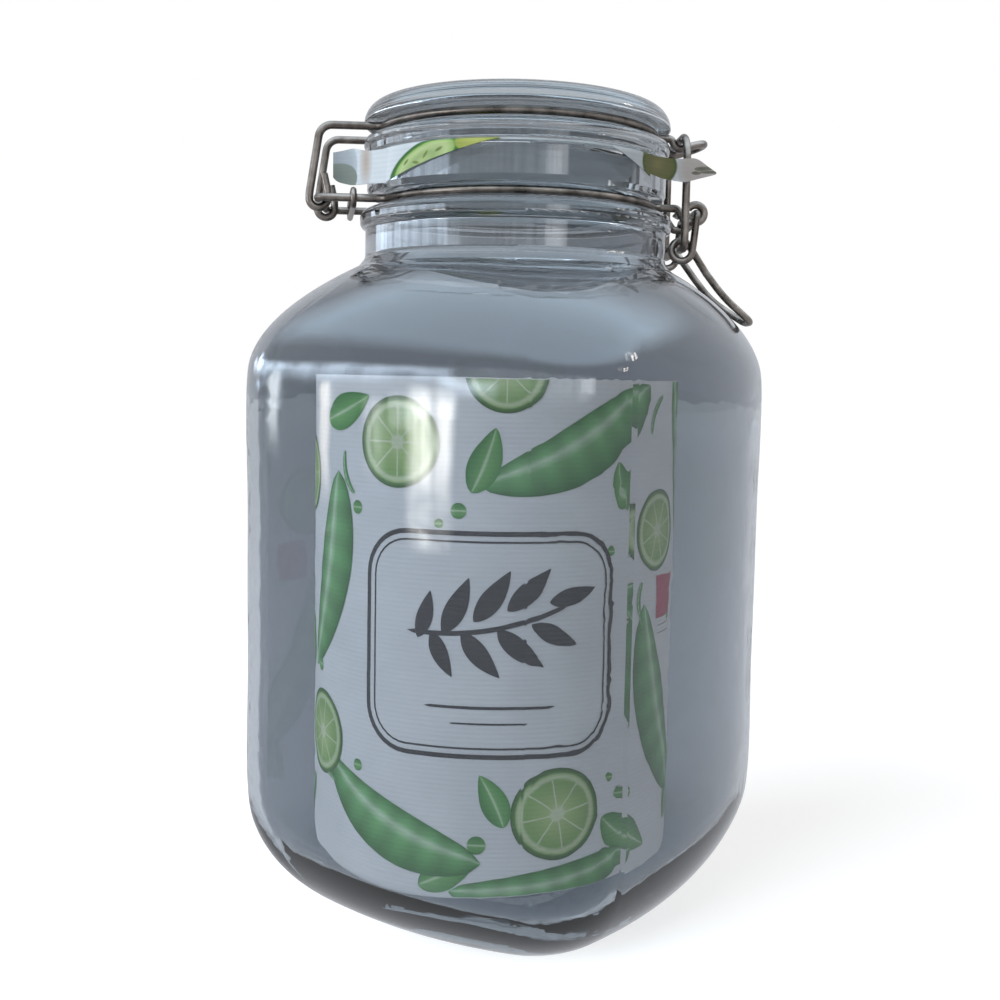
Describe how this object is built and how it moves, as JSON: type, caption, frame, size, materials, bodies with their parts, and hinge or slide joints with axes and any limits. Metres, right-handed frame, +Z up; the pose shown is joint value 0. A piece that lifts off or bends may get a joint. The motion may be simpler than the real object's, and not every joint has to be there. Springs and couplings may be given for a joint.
{
  "type": "clip-top storage jar",
  "caption": "Squarish glass jar with a round mouth, a glass lid and a bent-wire hinge and lever clamp, holding a rolled printed paper label, with a printed sheet caught under the lid",
  "frame": {"origin": "middle of the foot, on the surface that the jar stands on", "axes": "+Z up. +X towards the clamp, -X towards the hinge, so the lid's two wires lie along X. The squarish body is turned 55.65 degrees about Z against them."},
  "size_m": [0.1792, 0.1792, 0.2779],
  "materials": {
    "glass": "clear, faintly blue-grey",
    "wire": "satin drawn wire",
    "label": "ribbed, printed with green pods, rounds and a plain frame",
    "sheet": "matt, printed at its corners"
  },
  "bodies": {
    "jar": {"glass_jar": "glass", "neck_wire": "wire", "hinge_tie": "wire", "rolled_label": "label"},
    "lid": {"glass_lid": "glass", "lid_wire": "wire", "printed_sheet": "sheet"},
    "lever": {"clamp_lever": "wire"},
    "link": {"clamp_link": "wire"}
  },
  "joints": [
    {"name": "lid_hinge", "type": "hinge", "parent": "jar", "child": "lid", "pos_m": [-0.0659, 0, 0.24482], "axis": [0, -1, 0], "range_deg": [0, 180]},
    {"name": "lever_swing", "type": "hinge", "parent": "jar", "child": "lever", "pos_m": [0.0597, 0, 0.24332], "axis": [0, -1, 0], "range_deg": [0, 90]},
    {"name": "link_swing", "type": "hinge", "parent": "lever", "child": "link", "pos_m": [0.0551, 0, 0.23127], "axis": [0, -1, 0], "range_deg": [-110, 0]}
  ],
  "couplings": [
    {"joint": "lever_swing", "follows": "lid_hinge", "ratio": 0.5},
    {"joint": "link_swing", "follows": "lid_hinge", "ratio": -0.6111}
  ]
}
